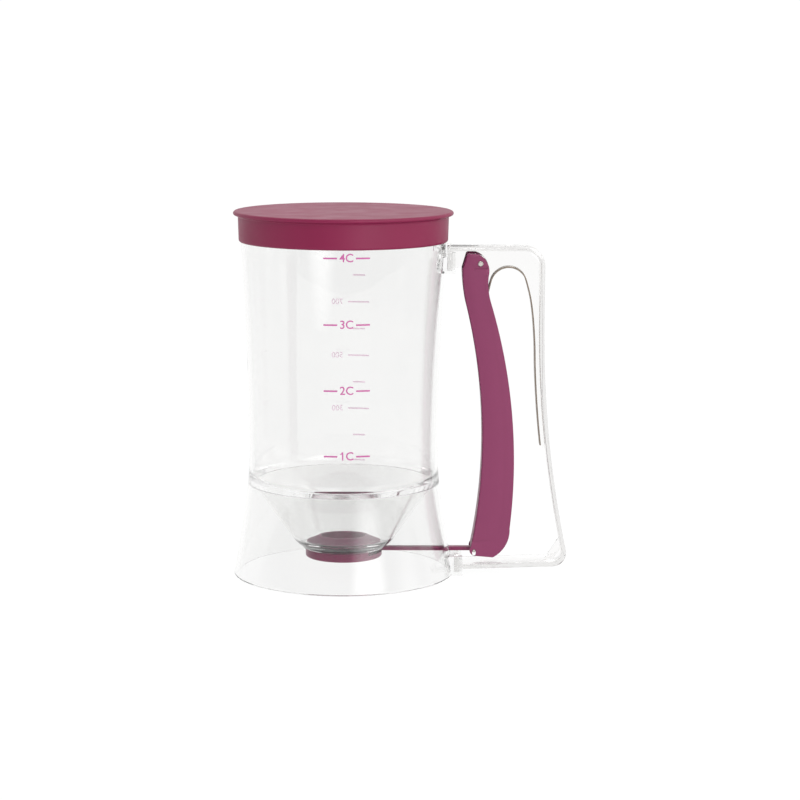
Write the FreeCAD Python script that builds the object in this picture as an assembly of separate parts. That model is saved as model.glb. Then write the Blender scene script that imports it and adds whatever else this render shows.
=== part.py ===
import FreeCAD, Part
import math
import os

# Batter dispenser: a clear measuring jug with a funnel floor and a standing skirt, a press-on lid,
# and a clear handle with a squeeze lever that pulls a gate away from the outlet.
# Millimetres. The origin is the centre of the base ring on the table, +Z is up and +X points to the handle.

# Jug wall
base_radius = 56.7
shoulder_radius = 49.3
shoulder_height = 48.0
skirt_hollow = 0.5
waist_radius = 48.6
waist_height = 62.0
rim_radius = 52.1
rim_straight = 17.0
flare_power = 1.8
rim_height = 185.0
wall = 2.0
edge_round = 0.6

# Funnel and outlet
funnel_top_height = 51.5
funnel_knee_radius = 25.8
funnel_knee_height = 21.5
floor_height = 17.2
floor_radius = 19.2
collar_height = 13.4
collar_radius = 21.4
outlet_radius = 12.2
funnel_fillet = 2.5
wedge_round = 0.5
floor_bend_out = 0.62
floor_bend_up = 0.26
knee_bulge = 0.3
corner_share = 0.29

# Lid
lid_plate = 2.0
lid_flange_radius = 55.9
lid_band_wall = 1.1
lid_band_depth = 13.4
lid_lip_depth = 5.0
lid_lip_wall = 1.3
lid_draft = 0.35
lid_edge_round = 1.1
lid_edge_in = 0.2
lid_edge_up = 0.3
lid_edge_flat = 0.6
lid_bevel = 0.6
lid_lip_bevel = 0.5
seat_gap = 0.3

# Gate, outlet cap and valve seat
gate_radius = 14.4
gate_thickness = 2.0
gate_gap = 0.1
rod_width = 4.0
rod_eye_radius = 1.5
rod_eye_width = 7.0
spigot_wall = 1.5
spigot_depth = 3.3
bead_height = 0.5
bead_half = 0.6
cap_wall = 2.0
cap_floor = 1.8
cap_foot = 0.9
guide_wall = 1.1
window_gap = 0.4
seat_flange = 1.0
seat_rise = 3.8
seat_crown = 1.6
seat_bush_wall = 0.8
seat_lip_gap = 0.05
rod_root = 2.0
guide_root = 0.5
rod_slot_margin = 2.0

# Lever pivot and lever
pivot_x = 69.5
pivot_z = 160.7
pin_radius = 1.4
pin_running_gap = 0.05
pin_held_gap = 0.02
pin_end_gap = 0.1
lever_width = 16.0
lever_cheek = 1.6
lever_front_wall = 1.8
lever_top_z = 165.9
lever_ear_x = 62.6
lever_ear_back_x = 67.0
lever_front_top_z = 157.7
lever_front_top_x = 60.2
lever_brow_x = 60.55
lever_brow_z = 151.0
lever_neck_x = 61.9
lever_neck_z = 141.5
lever_bulge_x = 71.0
lever_bulge_z = 72.5
lever_shin_x = 65.6
lever_shin_z = 14.5
lever_toe_x = 65.2
lever_toe_z = 11.4
lever_toe_back_x = 67.6
lever_toe_back_z = 9.6
lever_sole_x = 77.0
lever_sole_z = 8.8
lever_heel_x = 83.8
lever_heel_z = 15.6
lever_rear_foot_x = 85.6
lever_rear_foot_z = 24.0
lever_rear_bulge_x = 87.5
lever_rear_bulge_z = 58.0
lever_rear_neck_x = 75.0
lever_rear_neck_z = 141.0
lever_nape_x = 73.7
lever_nape_z = 147.5
lever_rear_top_x = 73.8
lever_rear_top_z = 155.0
lever_crown_x = 71.9
lever_crown_z = 162.9
lever_channel_floor_x = 71.0
border_step = 0.4
border_width = 5.0
border_top_width = 2.6
border_heel_x = 76.0
border_heel_z = 18.3
border_toe_z = 16.6
pad_radius = 4.2
pad_depth = 0.6
pad_drop = 2.6
lever_floor = 1.6
travel_deg = 8.0
slot_spare_deg = 1.5
rod_pin_x = 67.3
rod_pin_radius = 0.8
rod_pin_gap = 0.1

# Handle frame
handle_top_z = 169.9
handle_rail_x = 102.1
handle_width = 20.0
rail_thickness = 2.4
top_corner_radius = 10.0
foot_corner_radius = 7.0
bow_start_z = 130.0
bow_radius = 556.0
foot_rise_z = 13.2
foot_slope_deg = 1.8
web_thickness = 2.2
web_bottom_z = 158.1
web_lobe_reach = 5.0
web_tip_x = 73.4
web_tip_z = 155.4
web_tip_back_x = 75.4
web_tip_back_z = 153.5
web_strip_end_z = 65.0
gusset_rise = 6.0
plate_thickness = 2.4
plate_half_width = 9.0
top_plate_bottom_z = 157.6
foot_plate_bottom_z = 1.6
foot_plate_top_z = 9.9
boss_radius = 3.5
boss_side_gap = 0.2
lobe_margin = 1.0

# Brackets on the jug that hold the handle's end plates
bracket_gap = 0.15
bracket_wall = 2.0
bracket_lip = 2.6
bracket_lip_thickness = 1.6
bracket_shelf = 1.6
bracket_root = 8.0
top_bracket_top_z = 166.8
rib_reach = 19.5
rib_height = 2.2
rib_depth = 1.2

# Leaf spring: its section and the places of its bends
leaf_thickness = 0.7
leaf_width = 8.0
leaf_tip_x = 68.4
leaf_tip_z = 123.5
leaf_leg_low_x = 69.2
leaf_leg_low_z = 127.5
leaf_leg_high_x = 71.6
leaf_leg_high_z = 137.5
leaf_loop_radius = 9.3
leaf_loop_x = 84.0
leaf_loop_z = 149.4
leaf_swell_high_x = 95.2
leaf_swell_high_z = 143.0
leaf_swell_low_x = 96.5
leaf_swell_low_z = 134.0
leaf_rest_z = 120.0
leaf_end_z = 67.0
leaf_ledge = 1.6
leaf_gap = 0.3
arch_gap = 0.35

# Printed scales
ink_thickness = 0.12
ink_gap = 0.05
ink_shell_drop = 4.0
line_width = 0.8
cup_line_first_z = 69.0
cup_line_pitch = 32.9
cup_line_count = 4
cup_scale_x = 2.7
cup_dash_inner = 4.6
cup_dash_outer = 11.4
ml_line_first_z = 49.3
ml_line_pitch = 14.24
ml_line_count = 8
ml_long_line_every = 2
ml_long_line_first = 2
ml_long_line_from_x = 1.2
ml_long_line_to_x = 12.8
ml_short_line_from_x = 3.9
ml_short_line_to_x = 10.6

# Derived sizes
lid_band_inner = rim_radius + seat_gap
lid_band_outer = lid_band_inner + lid_band_wall
lid_top_z = rim_height + lid_plate
gate_top_z = collar_height - gate_gap
gate_bottom_z = gate_top_z - gate_thickness
cap_floor_top_z = gate_bottom_z - gate_gap
cap_floor_bottom_z = cap_floor_top_z - cap_floor
cap_bottom_z = cap_floor_bottom_z - cap_foot
gate_window = gate_radius + window_gap
spigot_inner = gate_window + guide_wall
spigot_outer = spigot_inner + spigot_wall
spigot_bottom_z = collar_height - spigot_depth
bead_z = spigot_bottom_z + seat_gap + bead_half
cap_inner = spigot_outer + seat_gap
cap_outer = cap_inner + cap_wall
rod_z = gate_bottom_z + gate_thickness / 2
rod_pin_drop = pivot_z - rod_z
rest_angle = math.atan2(rod_pin_x - pivot_x, rod_pin_drop)
travel = math.radians(travel_deg)
rod_travel = rod_pin_drop * (math.tan(rest_angle + travel) - math.tan(rest_angle))
slot_end_angle = rest_angle + travel + math.radians(slot_spare_deg)
slot_growth = rod_pin_drop / math.cos(slot_end_angle) - rod_pin_drop / math.cos(rest_angle)
top_plate_x = rim_radius + 0.6
foot_plate_x = base_radius + 0.4
cheek_inner_y = lever_width / 2 - lever_cheek

Z_AXIS = FreeCAD.Vector(0, 0, 1)
ORIGIN = FreeCAD.Vector(0, 0, 0)


def flat(x, z):
    """A point in the side plane, y = 0."""
    return FreeCAD.Vector(x, 0, z)


def chain(start, *legs):
    """Edges from start: a leg is one point for a line or (through, end) for an arc."""
    edges = []
    here = flat(*start)
    for leg in legs:
        if isinstance(leg[0], tuple):
            through, end = flat(*leg[0]), flat(*leg[1])
            edges.append(Part.Arc(here, through, end).toShape())
        else:
            end = flat(*leg)
            edges.append(Part.LineSegment(here, end).toShape())
        here = end
    return edges


def closed_face(edges):
    """A face inside edges that run end to end; the last gap is closed with a line."""
    start = edges[0].firstVertex(True).Point
    end = edges[-1].lastVertex(True).Point
    if end.distanceToPoint(start) > 1e-6:
        edges = edges + [Part.LineSegment(end, start).toShape()]
    return Part.Face(Part.Wire(edges))


def turned(edges):
    """The solid that a closed outline in the side plane makes when it turns about the jug's axis."""
    return closed_face(edges).revolve(ORIGIN, Z_AXIS, 360)


def slab(face, half_width):
    """A side-plane face given a width, centred on y = 0."""
    solid = face.extrude(FreeCAD.Vector(0, 2 * half_width, 0))
    solid.translate(FreeCAD.Vector(0, -half_width, 0))
    return solid


def block(x0, x1, y0, y1, z0, z1):
    return Part.makeBox(x1 - x0, y1 - y0, z1 - z0, FreeCAD.Vector(x0, y0, z0))


def cross_pin(radius, x, z, half_length):
    """A cylinder across the part, along Y."""
    start = FreeCAD.Vector(x, -half_length, z)
    return Part.makeCylinder(radius, 2 * half_length, start, FreeCAD.Vector(0, 1, 0))


def upright(radius, z0, z1):
    return Part.makeCylinder(radius, z1 - z0, FreeCAD.Vector(0, 0, z0))


def ring(inner, outer, z0, z1):
    return upright(outer, z0, z1).cut(upright(inner, z0 - 1, z1 + 1))


def wall_radius(z):
    """Outer radius of the jug above the shoulder: narrowest at the waist, flaring to shoulder and rim."""
    flare_top = rim_height - rim_straight
    if z >= waist_height:
        share = min(1, (z - waist_height) / (flare_top - waist_height))
        return waist_radius + (rim_radius - waist_radius) * share**flare_power
    share = (waist_height - z) / (waist_height - shoulder_height)
    return waist_radius + (shoulder_radius - waist_radius) * share**2


def wall_legs(inset, from_z):
    """Legs that climb the jug wall from from_z to the rim, moved in by inset."""
    flare_top = rim_height - rim_straight
    legs = []
    if from_z < waist_height:
        middle = (from_z + waist_height) / 2
        legs.append(((wall_radius(middle) - inset, middle), (waist_radius - inset, waist_height)))
    middle = (waist_height + flare_top) / 2
    legs.append(((wall_radius(middle) - inset, middle), (rim_radius - inset, flare_top)))
    return legs


def skirt_arc(inset):
    """Middle and top points of the skirt's hollow curve, moved in by inset."""
    middle = (base_radius + shoulder_radius) / 2 - skirt_hollow - inset
    return ((middle, shoulder_height / 2), (shoulder_radius - inset, shoulder_height))


def jug_outside():
    """The filled outer form: base ring, skirt, waist and rim."""
    foot = base_radius - edge_round
    corner = corner_share * edge_round
    return turned(
        chain(
            (0, 0),
            (foot, 0),
            ((base_radius - corner, corner), (base_radius, edge_round)),
            skirt_arc(0),
            *wall_legs(0, shoulder_height),
            (rim_radius, rim_height - edge_round),
            (rim_radius - edge_round, rim_height),
            (0, rim_height),
        )
    )


funnel_spread = wall_radius(funnel_top_height) - wall - funnel_knee_radius
funnel_flare = funnel_spread / (funnel_top_height - funnel_knee_height)
funnel_wall_across = wall * math.hypot(1, funnel_flare)
outer_knee_radius = funnel_knee_radius + funnel_wall_across


def jug_cavity():
    """What batter fills: outlet, flat floor, funnel and measuring bore."""
    top = funnel_top_height + funnel_fillet
    below = funnel_top_height - funnel_fillet
    lip_radius = wall_radius(top) - wall
    cone_radius = funnel_knee_radius + funnel_flare * (below - funnel_knee_height)
    corner = wall_radius(funnel_top_height) - wall
    turn_radius = (lip_radius + cone_radius + 2 * corner) / 4
    bend_radius = floor_radius + floor_bend_out * (funnel_knee_radius - floor_radius)
    bend = (bend_radius, floor_height + floor_bend_up * (funnel_knee_height - floor_height))
    return turned(
        chain(
            (0, collar_height - 1),
            (outlet_radius, collar_height - 1),
            (outlet_radius, floor_height - edge_round),
            (outlet_radius + edge_round, floor_height),
            (floor_radius, floor_height),
            (bend, (funnel_knee_radius, funnel_knee_height)),
            (cone_radius, below),
            ((turn_radius, funnel_top_height), (lip_radius, top)),
            *wall_legs(wall, top),
            (rim_radius - wall, rim_height + 1),
            (0, rim_height + 1),
        )
    )


def skirt_cavity():
    """The hollow under the funnel, inside the skirt, with a rounded top where the funnel leaves the wall."""
    meet_radius = shoulder_radius - wall
    meet_height = funnel_knee_height + (meet_radius - outer_knee_radius) / funnel_flare
    half_angle = math.atan(funnel_flare) / 2
    run = wedge_round / math.tan(half_angle)
    near = wedge_round / math.sin(half_angle) - wedge_round
    on_wall = (meet_radius, meet_height - run)
    on_cone = (meet_radius - run * math.sin(2 * half_angle), meet_height - run * math.cos(2 * half_angle))
    wedge_top = (meet_radius - near * math.sin(half_angle), meet_height - near * math.cos(half_angle))
    middle = skirt_arc(wall)[0]
    bend_radius = (collar_radius + outer_knee_radius) / 2 + knee_bulge
    bend = (bend_radius, (collar_height + funnel_knee_height) / 2 - knee_bulge)
    return turned(
        chain(
            (0, -1),
            (base_radius - wall, -1),
            (base_radius - wall, 0),
            (middle, on_wall),
            (wedge_top, on_cone),
            (outer_knee_radius, funnel_knee_height),
            (bend, (collar_radius, collar_height + edge_round)),
            (collar_radius - edge_round, collar_height),
            (0, collar_height),
        )
    )


def spigot():
    """The short tube under the collar that the cap snaps onto, with a bead and a window for the gate."""
    tube = ring(spigot_inner, spigot_outer, spigot_bottom_z, collar_height + edge_round)
    root = spigot_outer - spigot_wall / 2
    bead = turned(
        chain(
            (root, bead_z - bead_half),
            (spigot_outer, bead_z - bead_half),
            ((spigot_outer + bead_height, bead_z), (spigot_outer, bead_z + bead_half)),
            (root, bead_z + bead_half),
        )
    )
    window = block(0, cap_outer, -gate_window, gate_window, 0, collar_height)
    return tube.fuse(bead).cut(window)


def bracket(face_x, bottom_z, top_z):
    """A pad on the jug with hooked sides that take one end plate of the handle from above."""
    inner = plate_half_width + bracket_gap
    outer = inner + bracket_wall
    root = face_x - bracket_root
    back = face_x + plate_thickness + bracket_gap
    tip = back + bracket_lip_thickness
    low = bottom_z - bracket_shelf
    pad = block(root, face_x - bracket_gap, -outer, outer, low, top_z)
    shape = pad.fuse(block(root, tip, -outer, outer, low, bottom_z))
    for side in (-1, 1):
        near, far = sorted((side * inner, side * outer))
        shape = shape.fuse(block(root, tip, near, far, low, top_z))
        near, far = sorted((side * (inner - bracket_lip), side * outer))
        shape = shape.fuse(block(back, tip, near, far, low, top_z))
    return shape.removeSplitter()


def support_rib():
    """A rib under the lid, beside the top bracket, that spreads the handle's load around the wall."""
    low = top_bracket_top_z - rib_height
    blank = ring(rim_radius - wall / 2, rim_radius + rib_depth, low, top_bracket_top_z)
    keep = block(0, rim_radius + rib_depth, -rib_reach, rib_reach, low, top_bracket_top_z)
    clear = plate_half_width + bracket_gap
    return blank.common(keep).cut(block(0, rim_radius + rib_depth, -clear, clear, 0, rim_height))


def make_jug_body():
    body = jug_outside()
    body = body.fuse(bracket(top_plate_x, top_plate_bottom_z, top_bracket_top_z))
    body = body.fuse(bracket(foot_plate_x, foot_plate_bottom_z, foot_plate_top_z))
    body = body.fuse(support_rib())
    body = body.cut(jug_cavity()).cut(skirt_cavity())
    body = body.fuse(spigot())
    slot_half_height = gate_thickness / 2 + edge_round
    slot = block(
        shoulder_radius - wall - rod_slot_margin,
        base_radius + 1,
        -rod_width / 2 - edge_round,
        rod_width / 2 + edge_round,
        rod_z - slot_half_height,
        rod_z + slot_half_height,
    )
    return body.cut(slot).removeSplitter()


def make_lid():
    """Flat top with a rounded flange, an outer band and a short inner sealing lip."""
    band_bottom = rim_height - lid_band_depth
    band_foot = lid_band_outer - lid_draft
    rim_z = rim_height + lid_plate / 2
    lip_outer = rim_radius - wall - seat_gap
    return turned(
        chain(
            (0, lid_top_z),
            (lid_flange_radius - lid_plate / 2, lid_top_z),
            ((lid_flange_radius, rim_z), (lid_flange_radius - lid_plate / 2, rim_height)),
            (lid_band_outer + lid_bevel, rim_height - lid_bevel),
            (lid_band_outer, rim_height - 2 * lid_bevel),
            (band_foot, band_bottom + lid_edge_round),
            (
                (band_foot - lid_edge_in * lid_edge_round, band_bottom + lid_edge_up * lid_edge_round),
                (band_foot - lid_edge_flat * lid_edge_round, band_bottom),
            ),
            (lid_band_inner, band_bottom),
            (lid_band_inner, rim_height),
            (lip_outer, rim_height),
            (lip_outer, rim_height - lid_lip_depth + lid_lip_bevel),
            (lip_outer - lid_lip_bevel, rim_height - lid_lip_depth),
            (lip_outer - lid_lip_wall, rim_height - lid_lip_depth),
            (lip_outer - lid_lip_wall, rim_height),
            (0, rim_height),
        )
    )


def make_gate_slide():
    """The gate disc, its pull rod and the eye at the rod's end, moulded as one."""
    disc = upright(gate_radius, gate_bottom_z, gate_top_z)
    rod = block(gate_radius - rod_root, rod_pin_x, -rod_width / 2, rod_width / 2, gate_bottom_z, gate_top_z)
    eye = cross_pin(rod_eye_radius, rod_pin_x, rod_z, rod_eye_width / 2)
    gate = disc.fuse(rod).fuse(eye)
    hole = cross_pin(rod_pin_radius + pin_held_gap, rod_pin_x, rod_z, rod_eye_width)
    return gate.cut(hole).removeSplitter()


def make_outlet_cap():
    """Ring that snaps onto the spigot, with a floor, a nozzle hole and two walls that guide the gate."""
    rim_top = collar_height - seat_gap
    raised = spigot_inner - seat_gap
    channel_z = spigot_bottom_z - seat_gap
    groove_low = bead_z - bead_half - seat_gap
    groove_high = bead_z + bead_half + seat_gap
    nozzle = outlet_radius - seat_gap - seat_bush_wall
    cap = turned(
        chain(
            (nozzle, cap_floor_bottom_z),
            (nozzle, cap_floor_top_z),
            (raised, cap_floor_top_z),
            (raised, channel_z),
            (cap_inner, channel_z),
            (cap_inner, groove_low),
            (cap_inner + bead_height, groove_low),
            (cap_inner + bead_height, groove_high),
            (cap_inner, groove_high),
            (cap_inner, rim_top),
            (cap_outer, rim_top),
            (cap_outer, cap_bottom_z + edge_round),
            (cap_outer - edge_round, cap_bottom_z),
            (raised - edge_round, cap_bottom_z),
            (raised - edge_round, cap_floor_bottom_z),
        )
    )
    cap = cap.cut(block(0, cap_outer + 1, -gate_window, gate_window, cap_floor_top_z, collar_height + 1))
    guide_top = gate_top_z - gate_gap
    inside = upright(raised, cap_floor_bottom_z, guide_top)
    for side in (-1, 1):
        near, far = sorted((side * (gate_radius + gate_gap), side * (gate_radius + gate_gap + guide_wall)))
        guide = block(-gate_radius / 2, spigot_inner, near, far, cap_floor_top_z - guide_root, guide_top)
        cap = cap.fuse(guide.common(inside))
    return cap.removeSplitter()


def make_valve_seat():
    """Coloured seat in the funnel's floor: a raised ring on the floor and a bush down to the gate."""
    flange_radius = floor_radius - seat_gap
    bush_outer = outlet_radius - seat_gap
    bush_inner = bush_outer - seat_bush_wall
    lip_z = gate_top_z + seat_lip_gap
    flange_top = floor_height + seat_flange
    crown_radius = bush_inner + seat_crown
    crown_z = floor_height + seat_rise
    return turned(
        chain(
            (bush_inner, lip_z),
            (bush_inner, crown_z - seat_gap),
            (bush_inner + seat_gap, crown_z),
            (crown_radius, crown_z),
            (crown_radius + seat_gap, crown_z - seat_gap),
            (flange_radius - seat_flange / 2, flange_top),
            (flange_radius, flange_top - seat_flange / 2),
            (flange_radius, floor_height),
            (outlet_radius + edge_round, floor_height),
            (bush_outer, floor_height - edge_round),
            (bush_outer, lip_z),
        )
    )


def lever_front(inset):
    """Front curve of the lever from its shoulder down to its toe, moved back by inset."""
    return [
        ((lever_brow_x + inset, lever_brow_z), (lever_neck_x + inset, lever_neck_z)),
        ((lever_bulge_x + inset, lever_bulge_z), (lever_shin_x + inset, lever_shin_z)),
    ]


def lever_outline():
    """Side view of the lever."""
    return chain(
        (lever_ear_x, lever_top_z),
        (lever_front_top_x, lever_front_top_z),
        *lever_front(0),
        ((lever_toe_x, lever_toe_z), (lever_toe_back_x, lever_toe_back_z)),
        (lever_sole_x, lever_sole_z),
        ((lever_heel_x, lever_heel_z), (lever_rear_foot_x, lever_rear_foot_z)),
        ((lever_rear_bulge_x, lever_rear_bulge_z), (lever_rear_neck_x, lever_rear_neck_z)),
        ((lever_nape_x, lever_nape_z), (lever_rear_top_x, lever_rear_top_z)),
        ((lever_crown_x, lever_crown_z), (lever_ear_back_x, lever_top_z)),
    )


def lever_channel():
    """Space between the cheeks, behind the front wall and above the foot's floor."""
    ahead = lever_front_top_x - lever_front_wall
    behind = lever_rear_bulge_x + lever_front_wall
    above = lever_top_z + lever_front_wall
    below = lever_sole_z - lever_front_wall
    return chain(
        (ahead, above),
        (ahead, lever_front_top_z),
        (lever_front_top_x + lever_front_wall, lever_front_top_z),
        *lever_front(lever_front_wall),
        (lever_toe_x - lever_front_wall, lever_shin_z),
        (lever_toe_x - lever_front_wall, below),
        (lever_channel_floor_x, below),
        (lever_channel_floor_x, lever_sole_z + lever_floor),
        (behind, lever_sole_z + lever_floor),
        (behind, above),
    )


def lever_border():
    """Rear strip of each cheek that lies a step lower than the finger face."""
    ahead = lever_toe_x - border_width
    behind = lever_rear_bulge_x + border_width
    return chain(
        (behind, lever_rear_top_z),
        (lever_rear_top_x - border_top_width, lever_rear_top_z),
        (lever_rear_neck_x - border_top_width, lever_rear_neck_z),
        (
            (lever_rear_bulge_x - border_width, lever_rear_bulge_z),
            (lever_rear_foot_x - border_width, lever_rear_foot_z),
        ),
        (border_heel_x, border_heel_z),
        (ahead, border_toe_z),
        (ahead, lever_sole_z - border_width),
        (behind, lever_sole_z - border_width),
    )


def make_trigger_lever():
    half = lever_width / 2
    lever = slab(closed_face(lever_outline()), half)
    lever = lever.cut(slab(closed_face(lever_channel()), cheek_inner_y))
    strip = closed_face(lever_border())
    for side in (-1, 1):
        step = strip.extrude(FreeCAD.Vector(0, side * half, 0))
        step.translate(FreeCAD.Vector(0, side * (half - border_step), 0))
        lever = lever.cut(step)
        near, far = sorted((side * (half - pad_depth), side * lever_width))
        pad = cross_pin(pad_radius, pivot_x, pivot_z, lever_width)
        pad_low = pivot_z - pad_drop
        pad_room = block(lever_front_top_x, lever_rear_bulge_x, near, far, pad_low, handle_top_z)
        lever = lever.cut(pad.common(pad_room))
    lever = lever.cut(cross_pin(pin_radius + pin_running_gap, pivot_x, pivot_z, lever_width))
    return lever.cut(rod_pin_slot()).removeSplitter()


def rod_pin_slot():
    """Slots in both cheeks, along the line from the pivot, in which the rod pin slides."""
    radius = rod_pin_radius + rod_pin_gap
    half = lever_width
    reach = rod_pin_drop / math.cos(rest_angle)
    centres = [
        flat(pivot_x + length * math.sin(rest_angle), pivot_z - length * math.cos(rest_angle))
        for length in (reach, reach + slot_growth)
    ]
    side = FreeCAD.Vector(math.cos(rest_angle), 0, math.sin(rest_angle)) * radius
    corners = [centres[0] + side, centres[1] + side, centres[1] - side, centres[0] - side]
    face = Part.Face(Part.makePolygon(corners + corners[:1]))
    slot = slab(face, half)
    for centre in centres:
        slot = slot.fuse(cross_pin(radius, centre.x, centre.z, half))
    return slot


def make_pivot_pin():
    return cross_pin(pin_radius, pivot_x, pivot_z, lever_width / 2 - pin_end_gap)


def make_rod_pin():
    return cross_pin(rod_pin_radius, rod_pin_x, rod_z, lever_width / 2 - border_step)


def bow_point(inset, angle):
    """A point on the rear rail's bowed stretch, moved in by inset, at an angle below its start."""
    radius = bow_radius + inset
    return (handle_rail_x + bow_radius - radius * math.cos(angle), bow_start_z - radius * math.sin(angle))


bow = math.asin((bow_start_z - foot_rise_z) / bow_radius)
slope = math.radians(foot_slope_deg)
foot_tip = bow_point(0, bow)
foot_centre = (
    foot_tip[0] - foot_corner_radius * math.cos(bow),
    foot_tip[1] - foot_corner_radius * math.sin(bow),
)


def foot_rail_z(inset, x):
    """Height of the sloping bottom rail at x, moved in by inset."""
    radius = foot_corner_radius - inset
    end = (foot_centre[0] + radius * math.sin(slope), foot_centre[1] - radius * math.cos(slope))
    return end[1] - (end[0] - x) * math.tan(slope)


def frame_legs(inset, from_x):
    """The handle's outer line from the top joint round to the foot joint, moved in by inset."""
    top_centre = (handle_rail_x - top_corner_radius, handle_top_z - top_corner_radius)
    top_r = top_corner_radius - inset
    foot_r = foot_corner_radius - inset
    middle = (bow + slope - math.pi / 2) / 2
    foot_end = (foot_centre[0] + foot_r * math.sin(slope), foot_centre[1] - foot_r * math.cos(slope))
    return chain(
        (from_x[0], handle_top_z - inset),
        (top_centre[0], handle_top_z - inset),
        (
            (top_centre[0] + top_r * math.sin(math.pi / 4), top_centre[1] + top_r * math.cos(math.pi / 4)),
            (handle_rail_x - inset, top_centre[1]),
        ),
        (handle_rail_x - inset, bow_start_z),
        (bow_point(inset, bow / 2), bow_point(inset, bow)),
        (
            (foot_centre[0] + foot_r * math.cos(middle), foot_centre[1] + foot_r * math.sin(middle)),
            foot_end,
        ),
        (from_x[1], foot_rail_z(inset, from_x[1])),
    )


def leaf_points():
    """Centre line of the leaf: from its tip at the lever's front wall, over the loop, down the rail."""
    off = rail_thickness + leaf_ledge + leaf_gap + leaf_thickness / 2
    r = leaf_loop_radius
    turns = [math.radians(deg) for deg in (14, 45, 90, 135, 169)]
    leg = [
        (leaf_tip_x, leaf_tip_z),
        (leaf_leg_low_x, leaf_leg_low_z),
        (leaf_leg_high_x, leaf_leg_high_z),
    ]
    loop = [(leaf_loop_x - r * math.cos(a), leaf_loop_z + r * math.sin(a)) for a in turns]
    swell = [(leaf_swell_high_x, leaf_swell_high_z), (leaf_swell_low_x, leaf_swell_low_z)]
    heights = (leaf_rest_z, (leaf_rest_z + leaf_end_z) / 2, leaf_end_z)
    return leg + loop + swell + [rail_point(off, z) for z in heights]


def rail_point(inset, z):
    """A point on the rear rail at height z, moved in by inset."""
    if z >= bow_start_z:
        return (handle_rail_x - inset, z)
    return bow_point(inset, math.asin((bow_start_z - z) / (bow_radius + inset)))


def spline(points):
    curve = Part.BSplineCurve()
    curve.interpolate([flat(*p) for p in points])
    return curve


def leaf_side(offset, count=28):
    """A curve beside the leaf's centre line, offset towards the outside of its loop."""
    centre = spline(leaf_points())
    first, last = centre.FirstParameter, centre.LastParameter
    points = []
    for i in range(count + 1):
        t = first + (last - first) * i / count
        place = centre.value(t)
        along = centre.tangent(t)[0]
        points.append((place.x - along.z * offset, place.z + along.x * offset))
    return spline(points).toShape()


def make_return_spring():
    """A bent leaf of spring steel between the lever's front wall and the rear rail."""
    outer, inner = leaf_side(leaf_thickness / 2), leaf_side(-leaf_thickness / 2)
    ends = [
        Part.LineSegment(outer.lastVertex().Point, inner.lastVertex().Point).toShape(),
        Part.LineSegment(inner.firstVertex().Point, outer.firstVertex().Point).toShape(),
    ]
    wire = Part.Wire(Part.__sortEdges__([outer, inner] + ends))
    return slab(Part.Face(wire), leaf_width / 2)


def arch_space():
    """The space that the leaf and the fingers need, cut from the handle's web."""
    edge = leaf_side(leaf_thickness / 2 + arch_gap)
    start, end = edge.firstVertex().Point, edge.lastVertex().Point
    corners = [end, flat(end.x, foot_rise_z), flat(start.x, foot_rise_z), start]
    sides = [Part.LineSegment(a, b).toShape() for a, b in zip(corners, corners[1:])]
    return slab(Part.Face(Part.Wire(Part.__sortEdges__([edge] + sides))), handle_width)


def handle_web():
    """The thin middle plate: top stretch, pivot lobe, arch corner and the small foot gusset."""
    half = web_thickness / 2
    skin = rail_thickness / 2
    rail_x = handle_rail_x - skin
    top = closed_face(
        chain(
            (top_plate_x + skin, handle_top_z - skin),
            (top_plate_x + skin, web_bottom_z),
            (pivot_x - web_lobe_reach, web_bottom_z),
            (web_tip_x, web_tip_z),
            (web_tip_back_x, web_tip_back_z),
            (leaf_loop_x, web_strip_end_z),
            rail_point(skin, web_strip_end_z),
            rail_point(skin, (web_strip_end_z + bow_start_z) / 2),
            (rail_x, bow_start_z),
            (rail_x, handle_top_z - top_corner_radius),
            (handle_rail_x - top_corner_radius, handle_top_z - skin),
        )
    )
    corner = rail_point(skin, foot_rise_z)
    gusset_x = foot_centre[0] - foot_corner_radius + rail_thickness
    gusset = closed_face(
        chain(
            (gusset_x, foot_rail_z(skin, gusset_x)),
            rail_point(skin, foot_rise_z + gusset_rise),
            corner,
            (foot_centre[0], foot_rail_z(skin, foot_centre[0])),
        )
    )
    lobe = cross_pin(boss_radius + lobe_margin, pivot_x, pivot_z, half)
    return slab(top, half).fuse(lobe).cut(arch_space()).fuse(slab(gusset, half))


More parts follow.
